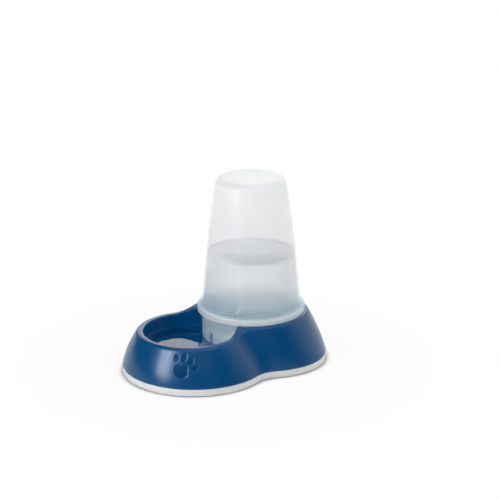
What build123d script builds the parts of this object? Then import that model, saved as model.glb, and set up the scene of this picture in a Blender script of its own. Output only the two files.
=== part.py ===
from build123d import *

import os
from math import cos, radians, sin, sqrt, tan

# Pet water dispenser, in millimetres. The bowl is at -X, the reservoir is at +X and the floor is
# at z = 0. The origin is the middle of the footprint.

# Base footprint: a bowl lobe and a tank lobe, joined by hollow waists
base_length = 290.0
bowl_lobe_radius = 98.0
tank_lobe_radius = 100.0
tank_lobe_x = 61.5
waist_radius = 37.5

# Base heights
ring_height = 10.0
rim_height = 58.0
seat_height = 67.5

# Basin: bowl and socket share one floor, so that water runs from one to the other
bowl_x = -54.8
bowl_radius = 62.9
bowl_draft = 3.0
tank_x = 45.3
floor_thickness = 2.0
basin_floor = ring_height + floor_thickness
floor_fillet = 6.0
cusp_fillet = 4.0
base_wall = 2.6
rim_fillet = 4.0

# Sleeve and lip of the reservoir, which the socket and the seat are sized for
sleeve_radius = 66.7
sleeve_gap = 0.5
socket_clearance = 0.5
lip_radius = sleeve_radius + 6.4
lip_height = 8.0

# The skirt's outline at seat height. The bowl end stops at its rim, so its radius here is where
# the flare would have ended. A bulge is how far the flank swells out between foot and top.
bowl_top_radius = bowl_radius + 1.5
tank_top_radius = lip_radius + 3.9
waist_top_radius = 48.0
bowl_bulge = 3.8
tank_bulge = 2.1

# Rise of the base's top from the bowl's rim to the reservoir's seat
rise_start_x = -36.0
rise_end_x = 0.0

# Ribs that stiffen the space between the basin and the skirt
rib_thickness = 1.8
rib_foot = 16.0
bowl_rib_angles = range(110, 251, 35)
tank_rib_angles = range(-72, 73, 36)

# Paw print sunk into the skirt, placed by its angle round the bowl and its height. Each oval is
# (across, up, half width, half height, turn in degrees) as seen from outside.
paw_angle = 228.0
paw_height = 38.0
paw_depth = 0.8
paw_toes = [
    (-8.8, 9.4, 3.8, 4.3, 0),
    (1.4, 10.7, 3.8, 5.6, -14),
    (9.2, 5.7, 3.7, 5.1, -30),
    (14.6, -3.2, 4.0, 4.2, -40),
]
paw_pad = [
    (-8.4, -2.8, 5.3, 5.4, 0),
    (-1.6, -3.2, 4.9, 5.8, 0),
    (-2.6, -8.6, 9.0, 5.4, -25),
]

# Non-slip ring, with a groove for the tongue below the skirt
ring_lip = 1.3
ring_sole = 3.4
ring_inner_height = 7.5
ring_fillet = 1.0
ring_clearance = 0.12
ring_width = base_wall + ring_clearance + 2.08

# Reservoir wall above the lip, which tapers from the sleeve's radius to the top
reservoir_height = 253.5
reservoir_wall = 2.0
foot_height = seat_height + lip_height + 7.0
middle_height = 165.6
middle_radius = sleeve_radius - 8.1
top_radius = sleeve_radius - 20.2
top_fillet = 11.0

# Hollow front of the reservoir: a sloping ledge, a flat face and an arch that runs out at the top
ledge_height = foot_height + 3.5
ledge_step = 1.0
face_x = tank_x - 50.3
face_top = reservoir_height - 43.5
face_lean = 2.6
arch_radius = 68.0

# Port in the sleeve: air goes in here, so its top sets the bowl's water level
port_width = 8.0
port_top = basin_floor + 35.5


def between(start, end, share):
    """Value part of the way from start to end."""
    return start + (end - start) * share


def face_within(*lines):
    """Flat face inside a closed run of lines and arcs."""
    return Face(Wire([edge for line in lines for edge in line.edges()]))


def outline(bowl_at, bowl_r, tank_at, tank_r, tank_reach, waist_r, inset):
    """Face of the footprint: round bowl lobe, two hollow waists and tank lobe with an oval end."""
    bowl_r -= inset
    tank_r -= inset
    tank_reach -= inset
    waist_r += inset
    span = tank_at - bowl_at
    along = ((bowl_r + waist_r) ** 2 - (tank_r + waist_r) ** 2 + span**2) / (2 * span)
    across = sqrt((bowl_r + waist_r) ** 2 - along**2)
    bowl = Vector(bowl_at, 0)
    tank = Vector(tank_at, 0)
    edges = []
    tangents = []
    for side in (-1, 1):
        waist = Vector(bowl_at + along, side * across)
        on_bowl = bowl + (waist - bowl).normalized() * bowl_r
        on_tank = tank + (waist - tank).normalized() * tank_r
        inward = (on_bowl + on_tank) * 0.5 - waist
        widest = tank + Vector(0, side * tank_r)
        shoulder = (on_tank + widest) * 0.5 - tank
        edges.append(ThreePointArc(on_bowl, waist + inward.normalized() * waist_r, on_tank))
        edges.append(ThreePointArc(on_tank, tank + shoulder.normalized() * tank_r, widest))
        tangents.append(on_bowl)
    edges.append(ThreePointArc(tangents[0], bowl - Vector(bowl_r, 0), tangents[1]))
    edges.append(EllipticalCenterArc(tank, tank_reach, tank_r, -90, arc_size=180))
    return face_within(*edges)


def skirt_section(height, inset):
    """The skirt's outline at a height, flaring in from the ring to the seat."""
    share = (height - ring_height) / (seat_height - ring_height)
    swell = 4 * share * (1 - share)
    face = outline(
        between(bowl_lobe_radius - base_length / 2, bowl_x, share),
        between(bowl_lobe_radius, bowl_top_radius, share) + bowl_bulge * swell,
        between(tank_lobe_x, tank_x, share),
        between(tank_lobe_radius, tank_top_radius, share) + tank_bulge * swell,
        between(base_length / 2 - tank_lobe_x, tank_top_radius, share) + tank_bulge * swell,
        between(waist_radius, waist_top_radius, share),
        inset,
    )
    return Pos(0, 0, height) * face


def skirt(inset=0.0):
    """Solid flare from the ring to the seat."""
    heights = [between(ring_height, seat_height, share) for share in (0, 0.5, 1)]
    return loft([skirt_section(height, inset) for height in heights])


def foot_band(outer_inset, inner_inset, bottom, top):
    """Upright band that follows the foot of the skirt, between two insets from its outline."""
    faces = [skirt_section(ring_height, inset) for inset in (outer_inset, inner_inset)]
    outer, inner = [extrude(Pos(0, 0, bottom - ring_height) * face, top - bottom) for face in faces]
    return outer - inner


def above_top(drop=0.0):
    """All that lies above the base's top, which is level at the bowl and rises to the seat."""
    rim = rim_height - drop
    seat = seat_height - drop
    far = base_length
    level = (1, 0, 0)
    rise = Spline((rise_start_x, 0, rim), (rise_end_x, 0, seat), tangents=(level, level))
    rest = Polyline(rise @ 1, (far, 0, seat), (far, 0, far), (-far, 0, far), (-far, 0, rim), rise @ 0)
    return extrude(face_within(rise, rest), base_length, dir=(0, 1, 0), both=True)


def basin(grow=0.0):
    """Water space of the base: the bowl and the round socket, with a rounded bottom."""
    bottom = basin_floor - grow
    top = seat_height + base_wall
    slope = tan(radians(bowl_draft))
    from_floor = (Align.CENTER, Align.CENTER, Align.MIN)
    low_radius = bowl_radius + grow - (rim_height - bottom) * slope
    high_radius = bowl_radius + grow + (top - rim_height) * slope
    bowl = Cone(low_radius, high_radius, top - bottom, align=from_floor)
    socket = Cylinder(sleeve_radius + socket_clearance + grow, top - bottom, align=from_floor)
    space = Pos(bowl_x, 0, bottom) * bowl + Pos(tank_x, 0, bottom) * socket
    cusps = space.edges().filter_by(lambda edge: edge.bounding_box().size.Z > top - bottom - 1)
    cusps = cusps.filter_by(lambda edge: abs(edge.center().Y) > 1)
    space = fillet(cusps, cusp_fillet - grow)
    return fillet(space.faces().sort_by(Axis.Z)[0].edges(), floor_fillet + grow)


def ribs(centre_x, angles):
    """Upright plates that stand out from a centre at the given angles."""
    reach = base_length / 2
    size = (reach, rib_thickness, seat_height)
    plate = Box(*size, align=(Align.MIN, Align.CENTER, Align.MIN))
    return [Pos(centre_x, 0, rib_foot) * Rot(0, 0, angle) * plate for angle in angles]


def paw_print():
    """Shallow paw-shaped space in the bowl end of the skirt."""
    out = Vector(cos(radians(paw_angle)), sin(radians(paw_angle)), 0)
    across = Vector(-out.Y, out.X, 0)
    place = Plane(Vector(bowl_x, 0, paw_height) + out * bowl_lobe_radius * 1.5, across, out)
    ovals = []
    for right, up, half_width, half_height, turn in paw_toes + paw_pad:
        ovals.append(Pos(right, up) * Rot(0, 0, turn) * Ellipse(half_width, half_height))
    paw = Sketch() + [place * oval for oval in ovals]
    return extrude(paw, -bowl_lobe_radius) & (skirt() - skirt(paw_depth))


def base_shell():
    """One moulding: flared skirt, bowl, socket and seat, hollow below and stiffened by ribs."""
    shell = skirt() - above_top()
    top_edges = shell.faces().filter_by(lambda face: face.center().Z > rim_height - 1).edges()
    shell = fillet(top_edges.filter_by(GeomType.LINE, reverse=True), rim_fillet)
    hollow = skirt(base_wall) - above_top(base_wall) - basin(base_wall)
    for plate in ribs(bowl_x, bowl_rib_angles) + ribs(tank_x, tank_rib_angles):
        hollow -= plate
    tongue = foot_band(ring_lip + ring_clearance, base_wall, ring_sole + ring_clearance, ring_height)
    return shell - hollow - basin() - paw_print() + tongue


def anti_slip_ring():
    """Soft ring round the foot, the one piece that touches the floor."""
    ring = foot_band(0, ring_width, 0, ring_height - ring_clearance)
    ring = fillet(ring.edges().group_by(Axis.Z)[0], ring_fillet)
    ring -= foot_band(ring_lip, base_wall + ring_clearance, ring_sole, ring_height)
    return ring - foot_band(base_wall, ring_width + 1, ring_inner_height, ring_height)


def front_cut(grow=0.0):
    """All that lies in front of the reservoir's ledge, flat face and arch."""
    edge = Vector(tank_x - lip_radius, 0, seat_height + lip_height + ledge_step)
    foot = Vector(face_x, 0, ledge_height)
    top = Vector(face_x + face_lean, 0, face_top)
    slope = (foot - edge).normalized()
    rise = (top - foot).normalized()
    forward = Vector(-rise.Z, 0, rise.X)
    foot += (slope - rise) * (grow / slope.cross(rise).length)
    outside = foot - slope * lip_radius * 2
    centre = top + forward * arch_radius
    swing = [radians(angle) for angle in (0, 30, 60)]
    spokes = [(rise * sin(turn) - forward * cos(turn)) * (arch_radius + grow) for turn in swing]
    arch = ThreePointArc(*[centre + spoke for spoke in spokes])
    rest = Polyline(arch @ 1, (outside.X, 0, (arch @ 1).Z), outside, foot, arch @ 0)
    return extrude(face_within(arch, rest), lip_radius, dir=(0, 1, 0), both=True)


def tank_form(inset, *lower_line):
    """Solid turned form of the tank, drawn in by the inset, above a given line of its lower part."""
    foot = (sleeve_radius - inset, 0, foot_height)
    top = (top_radius - inset, 0, reservoir_height - inset)
    wall = ThreePointArc(foot, (middle_radius - inset, 0, middle_height), top)
    bottom = lower_line[-1][2]
    rest = Polyline(top, (0, 0, top[2]), (0, 0, bottom), *reversed(lower_line), foot)
    form = Pos(tank_x, 0, 0) * revolve(face_within(wall, rest), Axis.Z)
    top_edge = form.edges().group_by(Axis.Z)[-1]
    return fillet(top_edge, top_fillet - inset) - front_cut(inset)


def port():
    """Slot with a round top that faces the bowl."""
    from_floor = (Align.CENTER, Align.CENTER, Align.MIN)
    depth = sleeve_radius / 2
    spring = port_top - port_width / 2
    slot = Box(depth, port_width, spring, align=from_floor)
    slot += Pos(0, 0, spring) * Rot(0, 90, 0) * Cylinder(port_width / 2, depth)
    return Pos(tank_x - sleeve_radius, 0, 0) * slot


def reservoir():
    """One moulding: tank, shoulder and lip that rest on the base, and the sleeve in the water."""
    lip_top = seat_height + lip_height
    lip_inner = lip_radius - reservoir_wall
    bottom = basin_floor + floor_fillet + sleeve_gap
    outside = [
        (lip_radius, 0, lip_top),
        (lip_radius, 0, seat_height),
        (lip_inner, 0, seat_height),
        (lip_inner, 0, lip_top - reservoir_wall),
        (sleeve_radius, 0, lip_top - reservoir_wall / 2),
        (sleeve_radius, 0, bottom),
    ]
    inside = (sleeve_radius - reservoir_wall, 0, bottom)
    return tank_form(0, *outside) - tank_form(reservoir_wall, inside) - port()


os.makedirs("parts", exist_ok=True)
for piece in (base_shell, anti_slip_ring, reservoir):
    export_step(piece(), f"parts/{piece.__name__}.step")
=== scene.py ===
from math import cos, pi, radians, sin, tan

import bmesh
import bpy
import numpy as np
from mathutils import Matrix, Vector


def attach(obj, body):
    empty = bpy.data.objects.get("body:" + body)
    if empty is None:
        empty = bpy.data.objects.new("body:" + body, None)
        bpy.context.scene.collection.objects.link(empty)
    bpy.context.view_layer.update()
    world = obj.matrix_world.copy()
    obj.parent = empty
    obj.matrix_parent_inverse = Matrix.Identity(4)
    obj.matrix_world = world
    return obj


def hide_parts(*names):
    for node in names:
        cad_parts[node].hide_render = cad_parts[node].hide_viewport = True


bl_info = {
    "name": "Pet water dispenser",
    "version": (1, 0, 0),
    "blender": (4, 5, 0),
    "location": "View3D > Sidebar > Dispenser",
    "description": "Builds a gravity pet water dispenser around its construction frame",
    "category": "Add Mesh",
}

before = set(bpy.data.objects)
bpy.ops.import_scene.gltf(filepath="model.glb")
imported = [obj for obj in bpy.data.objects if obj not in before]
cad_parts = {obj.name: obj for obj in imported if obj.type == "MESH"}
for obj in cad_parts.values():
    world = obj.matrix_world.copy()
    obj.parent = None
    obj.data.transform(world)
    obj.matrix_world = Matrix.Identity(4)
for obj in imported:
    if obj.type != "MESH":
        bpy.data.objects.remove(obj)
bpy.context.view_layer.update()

MM = 0.001


def length(name, millimetres, description):
    """A size that the user can change, given in millimetres and kept in metres."""
    return bpy.props.FloatProperty(
        name=name,
        description=description,
        default=millimetres * MM,
        unit="LENGTH",
        subtype="DISTANCE",
        precision=4,
    )


def angle(name, degrees, description):
    """An angle that the user can change, given in degrees."""
    return bpy.props.FloatProperty(
        name=name,
        description=description,
        default=radians(degrees),
        unit="ROTATION",
        subtype="ANGLE",
    )


def colour(name, red, green, blue, description):
    """A linear colour that the user can change."""
    return bpy.props.FloatVectorProperty(
        name=name,
        description=description,
        default=(red, green, blue),
        size=3,
        min=0.0,
        max=1.0,
        subtype="COLOR",
    )


class BaseSizes(bpy.types.PropertyGroup):
    """Sizes of the base moulding, its ring and the water in it."""

    length: length("Length", 290.0, "Length of the footprint")
    bowl_lobe_radius: length("Bowl lobe radius", 98.0, "Radius of the footprint round the bowl")
    tank_lobe_radius: length("Tank lobe radius", 100.0, "Radius of the footprint round the tank")
    tank_lobe_x: length("Tank lobe place", 61.5, "Where the tank lobe's centre is on the floor")
    waist_radius: length("Waist radius", 37.5, "Radius of the hollow waist at the floor")
    ring_height: length("Ring height", 10.0, "Height where the skirt meets the ring")
    rim_height: length("Rim height", 58.0, "Height of the bowl's rim")
    seat_height: length("Seat height", 67.5, "Height of the seat that carries the reservoir")
    bowl_x: length("Bowl place", -54.8, "Where the bowl's axis is")
    bowl_top_radius: length("Bowl flare radius", 64.4, "Radius of the bowl's flare at seat height")
    tank_x: length("Socket place", 45.3, "Where the socket's axis is")
    tank_top_radius: length("Tank flare radius", 77.0, "Radius of the tank's flare at the seat")
    waist_top_radius: length("Waist top radius", 48.0, "Radius of the waist at seat height")
    bowl_bulge: length("Bowl flank bulge", 3.8, "How far the flank swells out by the bowl")
    tank_bulge: length("Tank flank bulge", 2.1, "How far the flank swells out by the tank")
    rise_start: length("Rise start", -36.0, "Where the top edge starts to rise")
    rise_end: length("Rise end", 0.0, "Where the top edge reaches the seat")
    bowl_radius: length("Bowl radius", 62.9, "Inner radius of the bowl at its rim")
    bowl_draft: angle("Bowl draft", 3.0, "How much the bowl's wall leans out")
    socket_radius: length("Socket radius", 67.2, "Inner radius of the socket")
    floor_height: length("Floor height", 12.0, "Height of the bowl's floor")
    wall: length("Wall", 2.6, "Thickness of the base moulding")
    cusp_round: length("Cusp rounding", 4.0, "Rounding where bowl and socket meet")
    floor_round: length("Floor rounding", 6.0, "Rounding round the bowl's floor")
    rim_round: length("Rim rounding", 4.6, "How far the outer rounding of the rim reaches")
    lip_round: length("Inner rim rounding", 1.4, "How far the inner rounding of the rim reaches")
    foot_round: length("Foot rounding", 0.7, "How far the skirt's foot turns in above the ring")
    rib_width: length("Rib width", 1.8, "Thickness of the ribs under the base")
    rib_foot: length("Rib foot", 16.0, "Height of the ribs' lower ends")
    water_level: length("Bowl water level", 40.0, "Height of the water in the bowl")


class RingSizes(bpy.types.PropertyGroup):
    """Sizes of the non-slip ring and of the tongue that stands in it."""

    width: length("Ring width", 4.8, "Width of the ring")
    outer_lip: length("Outer lip", 1.3, "Thickness of the lip outside the groove")
    sole: length("Sole", 3.4, "Thickness of the ring below the groove")
    inner_height: length("Inner height", 7.5, "Height of the lip inside the groove")
    edge_round: length("Edge rounding", 2.2, "Rounding of the ring's lower edges")
    top_round: length("Top rounding", 1.1, "Rounding of the ring's outer top edge")
    groove_round: length("Groove rounding", 0.15, "Rounding of the ring's edge at the groove")
    inner_round: length("Inner rounding", 0.5, "Rounding of the ring's inner top edge")
    gap: length("Gap", 0.15, "Space between the ring and the base")


class PawSizes(bpy.types.PropertyGroup):
    """Size and place of the paw print that is sunk into the skirt."""

    angle: angle("Place", 228.0, "Angle of the print round the bowl")
    height: length("Height", 38.0, "Height of the middle of the print")
    depth: length("Depth", 0.6, "Depth of the print")
    edge: length("Edge", 1.2, "Width of the print's sloping edge")


class ReservoirSizes(bpy.types.PropertyGroup):
    """Sizes of the reservoir moulding and of the water in it."""

    height: length("Height", 253.5, "Height of the reservoir's top above the floor")
    wall: length("Wall", 2.0, "Thickness of the reservoir")
    lip_radius: length("Lip radius", 73.1, "Outer radius of the lip")
    lip_height: length("Lip height", 8.0, "Height of the lip")
    sleeve_radius: length("Sleeve radius", 66.7, "Outer radius of the sleeve")
    sleeve_bottom: length("Sleeve bottom", 18.5, "Height of the sleeve's lower end")
    foot_height: length("Foot height", 82.5, "Height where the tank's wall starts")
    middle_height: length("Middle height", 165.6, "Height of the wall's middle point")
    middle_radius: length("Middle radius", 58.6, "Radius of the wall at its middle point")
    top_radius: length("Top radius", 46.5, "Radius that the wall reaches at the top")
    top_round: length("Top rounding", 11.0, "Rounding of the top edge")
    ledge_height: length("Ledge height", 86.0, "Height of the ledge where the flat front starts")
    ledge_step: length("Ledge step", 1.0, "How far the ledge starts above the lip")
    front_x: length("Front", -5.0, "Where the flat front starts")
    front_top: length("Front top", 210.0, "Height where the flat front turns into the arch")
    front_lean: length("Front lean", 2.6, "How far the flat front leans back")
    arch_radius: length("Arch radius", 68.0, "Radius of the arch that ends the flat front")
    front_round: length("Front rounding", 9.0, "Rounding of the flat front's edges")
    port_width: length("Port width", 8.0, "Width of the port in the sleeve")
    port_top: length("Port top", 47.5, "Height of the port's top")
    water_level: length("Tank water level", 148.0, "Height of the water in the tank")


class Finishes(bpy.types.PropertyGroup):
    """Colours of the pieces."""

    blue: colour("Base blue", 0.0, 0.074, 0.222, "Colour of the base moulding")
    white: colour("Ring white", 0.885, 0.89, 0.9, "Colour of the non-slip ring")
    frost: colour("Reservoir", 0.965, 0.97, 0.975, "Colour of the frosted reservoir")
    water: colour("Water", 0.85, 0.95, 1.0, "Colour of the water")
    floor: colour("Floor", 0.94, 0.94, 0.94, "Colour of the studio floor")


def between(start, end, share):
    """Value part of the way from start to end."""
    return start + (end - start) * share


def smooth(low, high, value):
    """Smooth step from 0 at low to 1 at high."""
    share = np.clip((value - low) / (high - low), 0.0, 1.0)
    return share * share * (3.0 - 2.0 * share)


# Outlines of the base in plan. A station is one place round the outline, counted from the bowl
# end along the -Y side to the tank end, and back along the +Y side. Each outline has the same
# stations: on the bowl's arc, where they are closer together over the paw print, on the waist,
# and on the tank's arc up to its widest place and beyond it.

BOWL_STATIONS = 66
PAW_STATIONS = 84
WAIST_STATIONS = 26
TANK_STATIONS = 24
END_STATIONS = 34
PAW_SPAN = (radians(35.0), radians(63.0))
BOWL_ARC = pi - 1.21


def skirt_shape(height, inset):
    """Centres and radii of the skirt's outline at a height, drawn in by an inset."""
    base = bpy.context.scene.dispenser_base
    share = (height - base.ring_height) / (base.seat_height - base.ring_height)
    swell = 4.0 * share * (1.0 - share)
    bowl_at = between(base.bowl_lobe_radius - base.length / 2, base.bowl_x, share)
    bowl_r = between(base.bowl_lobe_radius, base.bowl_top_radius, share) + base.bowl_bulge * swell
    tank_at = between(base.tank_lobe_x, base.tank_x, share)
    bulge = base.tank_bulge * swell
    tank_r = between(base.tank_lobe_radius, base.tank_top_radius, share) + bulge
    reach = between(base.length / 2 - base.tank_lobe_x, base.tank_top_radius, share) + bulge
    waist_r = between(base.waist_radius, base.waist_top_radius, share)
    return bowl_at, bowl_r - inset, tank_at, tank_r - inset, reach - inset, waist_r + inset


def tangent_angles(shape):
    """Angles at the bowl's and the tank's centre where the waist arc touches their arcs."""
    bowl_at, bowl_r, tank_at, tank_r, _, waist_r = shape
    span = tank_at - bowl_at
    along = ((bowl_r + waist_r) ** 2 - (tank_r + waist_r) ** 2 + span**2) / (2 * span)
    across = np.sqrt((bowl_r + waist_r) ** 2 - along**2)
    return along, across, np.arctan2(across, along), np.arctan2(across, span - along)


def bowl_shares():
    """Shares of the bowl's arc, close together where the paw print is."""
    low, high = PAW_SPAN[0] / BOWL_ARC, PAW_SPAN[1] / BOWL_ARC
    before = int(BOWL_STATIONS * low / (1 - high + low))
    after = BOWL_STATIONS - before
    parts = [
        np.linspace(0.0, low, before, endpoint=False),
        np.linspace(low, high, PAW_STATIONS, endpoint=False),
        np.linspace(high, 1.0, after, endpoint=False),
    ]
    return np.concatenate(parts)


def near_side(shape):
    """Points of the -Y half of an outline whose values may differ from station to station."""
    counts = (BOWL_STATIONS + PAW_STATIONS, WAIST_STATIONS, TANK_STATIONS, END_STATIONS + 1)
    stops = np.cumsum((0,) + counts)
    bowl, hollow, tank, end = (slice(*pair) for pair in zip(stops, stops[1:]))
    zero = np.zeros(stops[-1])
    values = np.broadcast_arrays(*shape, *tangent_angles(shape), zero)
    bowl_at, bowl_r, tank_at, tank_r, reach, waist_r, along, across, at_bowl, at_tank, _ = values
    points = np.empty((stops[-1], 2))

    def place(part, centre_x, centre_y, radius_x, radius_y, turn):
        points[part, 0] = centre_x[part] + radius_x[part] * np.cos(turn)
        points[part, 1] = centre_y[part] + radius_y[part] * np.sin(turn)

    turn = between(pi, 2 * pi - at_bowl[bowl], bowl_shares())
    place(bowl, bowl_at, zero, bowl_r, bowl_r, turn)
    shares = np.arange(WAIST_STATIONS) / WAIST_STATIONS
    turn = between(pi - at_bowl[hollow], at_tank[hollow], shares)
    place(hollow, bowl_at + along, -across, waist_r, waist_r, turn)
    shares = np.arange(TANK_STATIONS) / TANK_STATIONS
    turn = between(at_tank[tank] - pi, -pi / 2, shares)
    place(tank, tank_at, zero, tank_r, tank_r, turn)
    shares = np.arange(END_STATIONS + 1) / END_STATIONS
    place(end, tank_at, zero, reach, tank_r, between(-pi / 2, 0.0, shares))
    return points


def both_sides(near):
    """Closed outline from its -Y half: the half and its mirror image, each station once."""
    far = near[-2:0:-1].copy()
    far[:, 1] *= -1
    return np.concatenate([near, far])


def skirt_outline(height, inset=0.0):
    """Closed outline of the skirt. The height may be one number or one for each station."""
    height = np.asarray(height)
    if height.ndim:
        height = height[: len(height) // 2 + 1]  # the far half mirrors the near one
    return both_sides(near_side(skirt_shape(height, inset)))


def basin_half(height, grow):
    """The -Y half of the basin's outline, with stations that face those of the skirt."""
    base = bpy.context.scene.dispenser_base
    slope = tan(base.bowl_draft)
    bowl_r = base.bowl_radius + grow - (base.rim_height - height) * slope
    socket_r = base.socket_radius + grow
    cusp_r = base.cusp_round - grow
    shape = (base.bowl_x, bowl_r, base.tank_x, socket_r, socket_r, cusp_r)
    along, across, at_bowl, at_tank = tangent_angles(shape)
    fine = 1500
    bowl = np.linspace(pi, 2 * pi - at_bowl, fine)
    cusp = np.linspace(pi - at_bowl, at_tank, fine)
    socket = np.linspace(at_tank - pi, 0.0, fine)
    x = [base.bowl_x + bowl_r * np.cos(bowl), base.bowl_x + along + cusp_r * np.cos(cusp)]
    x = np.concatenate(x + [base.tank_x + socket_r * np.cos(socket)])
    y = [bowl_r * np.sin(bowl), -across + cusp_r * np.sin(cusp), socket_r * np.sin(socket)]
    y = np.concatenate(y)
    travelled = np.concatenate([[0.0], np.cumsum(np.hypot(np.diff(x), np.diff(y)))])
    _, _, skirt_bowl, skirt_tank = tangent_angles(skirt_shape(base.seat_height, 0.0))
    bowl_stop = bowl_r * (pi - skirt_bowl)
    tank_start = travelled[-1] - socket_r * (pi - skirt_tank)
    tank_stop = travelled[-1] - socket_r * pi / 2
    marks = [
        bowl_shares() * bowl_stop,
        np.linspace(bowl_stop, tank_start, WAIST_STATIONS, endpoint=False),
        np.linspace(tank_start, tank_stop, TANK_STATIONS, endpoint=False),
        np.linspace(tank_stop, travelled[-1], END_STATIONS + 1),
    ]
    marks = np.concatenate(marks)
    return np.stack([np.interp(marks, travelled, x), np.interp(marks, travelled, y)], axis=1)


def basin_outline(height, grow=0.0):
    """Closed outline of the basin. The height may be one number or one for each station."""
    base = bpy.context.scene.dispenser_base
    low = both_sides(basin_half(base.floor_height, grow))
    high = both_sides(basin_half(base.seat_height, grow))
    share = (np.asarray(height) - base.floor_height) / (base.seat_height - base.floor_height)
    return low + (high - low) * np.broadcast_to(share, len(low))[:, None]


def top_height(x):
    """Height of the base's top: level at the bowl, then a smooth rise to the seat."""
    base = bpy.context.scene.dispenser_base
    rise = smooth(base.rise_start, base.rise_end, x)
    return between(base.rim_height, base.seat_height, rise)


def raised(plan, height):
    """Points in space from an outline in plan and its height."""
    return np.column_stack([plan, np.broadcast_to(height, len(plan))])


def top_edge(outline_at, drop):
    """Height for each station where an outline family meets the top, lowered by a drop.

    Each round starts from the last one's heights, and 30 rounds leave no change.
    """
    stations = len(outline_at(bpy.context.scene.dispenser_base.rim_height))
    height = np.full(stations, 60 * MM)
    for _ in range(30):
        height = top_height(outline_at(height)[:, 0]) - drop
    return height


def spine(plan):
    """Points on the middle line of the floor that the outline's stations close onto."""
    base = bpy.context.scene.dispenser_base
    middle = np.zeros_like(plan)
    middle[:, 0] = np.clip(plan[:, 0], base.bowl_x, base.tank_x)
    return middle


def resampled(line, start, stop, shares):
    """Rows of a run of lines at shares of the way between two distances from its ends."""
    steps = np.linalg.norm(np.diff(line, axis=0), axis=2)
    travelled = np.concatenate([np.zeros((1, line.shape[1])), np.cumsum(steps, axis=0)])
    rows = np.empty((len(shares), line.shape[1], 3))
    for station in range(line.shape[1]):
        place = travelled[:, station]
        begin = min(start, place[-1] * 0.45)
        end = place[-1] - min(stop, place[-1] * 0.45)
        wanted = between(begin, end, np.asarray(shares))
        for axis in range(3):
            rows[:, station, axis] = np.interp(wanted, place, line[:, station, axis])
    return rows


def rounded(before, corner, after, count):
    """Rows that round a corner between two rows, as nearly circular arcs."""
    first = before - corner
    last = after - corner
    size = np.linalg.norm(first, axis=1) * np.linalg.norm(last, axis=1)
    cosine = np.sum(first * last, axis=1) / np.maximum(size, 1e-12)
    weight = np.sqrt(np.clip((1.0 - cosine) / 2.0, 0.0, 1.0))[:, None]
    rows = []
    for share in np.arange(1, count) / count:
        parts = ((1 - share) ** 2, 2 * share * (1 - share) * weight, share**2)
        whole = parts[0] + parts[1] + parts[2]
        rows.append((parts[0] * before + parts[1] * corner + parts[2] * after) / whole)
    return np.stack(rows)


def chain(runs, rounds, shares):
    """One long grid from runs that meet at corners, with each corner rounded."""
    rows = []
    for index, line in enumerate(runs):
        start = rounds[index - 1][0] if index else 0.0
        stop = rounds[index][0] if index < len(rounds) else 0.0
        part = resampled(line, start, stop, shares[index])
        if index:
            rows.append(rounded(rows[-1][-1], line[0], part[0], rounds[index - 1][1]))
        rows.append(part)
    return rows


def grid_mesh(name, rows):
    """Closed mesh from rows of stations whose first and last rows close onto themselves."""
    count, stations = rows.shape[:2]
    index = np.arange(count * stations).reshape(count, stations)
    following = np.roll(index, -1, axis=1)
    faces = np.stack([index[:-1], following[:-1], following[1:], index[1:]], axis=-1)
    mesh = bpy.data.meshes.new(name)
    mesh.from_pydata(rows.reshape(-1, 3), [], faces.reshape(-1, 4).tolist())
    return mesh


MERGE_DISTANCE = 0.002 * MM
SHARP_EDGE = radians(38.0)


def closed(mesh):
    """Merges points that lie on each other, turns all faces outwards and shades them smooth."""
    shape = bmesh.new()
    shape.from_mesh(mesh)
    bmesh.ops.remove_doubles(shape, verts=shape.verts, dist=MERGE_DISTANCE)
    bmesh.ops.dissolve_degenerate(shape, edges=shape.edges, dist=MERGE_DISTANCE / 2)
    bmesh.ops.recalc_face_normals(shape, faces=shape.faces)
    shape.to_mesh(mesh)
    shape.free()
    mesh.shade_smooth()
    mesh.set_sharp_from_angle(angle=SHARP_EDGE)
    return mesh


def piece(name, mesh, body, slot, material, *nodes):
    """Puts a finished mesh in the scene as a piece of the object."""
    found = linked(name, mesh)
    mesh.materials.clear()
    mesh.materials.append(material)
    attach(found, body)
    if nodes:
        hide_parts(*nodes)


# Paw print: a generic paw of four toes and a pad. Each oval is (across, up, half width, half
# height, turn in degrees) in millimetres, as seen from outside.

PAW_TOES = (
    (-7.4, 9.6, 3.6, 4.2, 0),
    (3.0, 10.2, 3.6, 5.4, -26),
    (12.0, 6.0, 3.5, 4.8, -30),
    (18.0, -2.0, 3.7, 4.0, -40),
)
PAW_PAD = (
    (-5.3, -2.8, 4.8, 4.9, 0),
    (3.4, -2.8, 5.2, 4.9, 0),
    (-0.4, -7.6, 9.4, 6.5, -10),
)


def oval_distance(across, up, oval):
    """Distance from the edge of an oval, negative inside."""
    middle_x, middle_y, half_width, half_height, turn = oval
    x = across / MM - middle_x
    y = up / MM - middle_y
    c, s = cos(radians(turn)), sin(radians(turn))
    x, y = (x * c + y * s), (y * c - x * s)
    near = np.hypot(x / half_width, y / half_height)
    slope = np.hypot(x / half_width**2, y / half_height**2)
    return near * (near - 1.0) / np.maximum(slope, 1e-6) * MM


def paw_distance(across, up):
    """Distance from the edge of the paw print, negative inside."""
    toes = np.minimum.reduce([oval_distance(across, up, oval) for oval in PAW_TOES])
    pad = oval_distance(across, up, PAW_PAD[0])
    blend = 1.6 * MM
    for oval in PAW_PAD[1:]:
        other = oval_distance(across, up, oval)
        mix = np.maximum(blend - np.abs(pad - other), 0.0) / blend
        pad = np.minimum(pad, other) - mix * mix * blend / 4
    return np.minimum(toes, pad)


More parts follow.
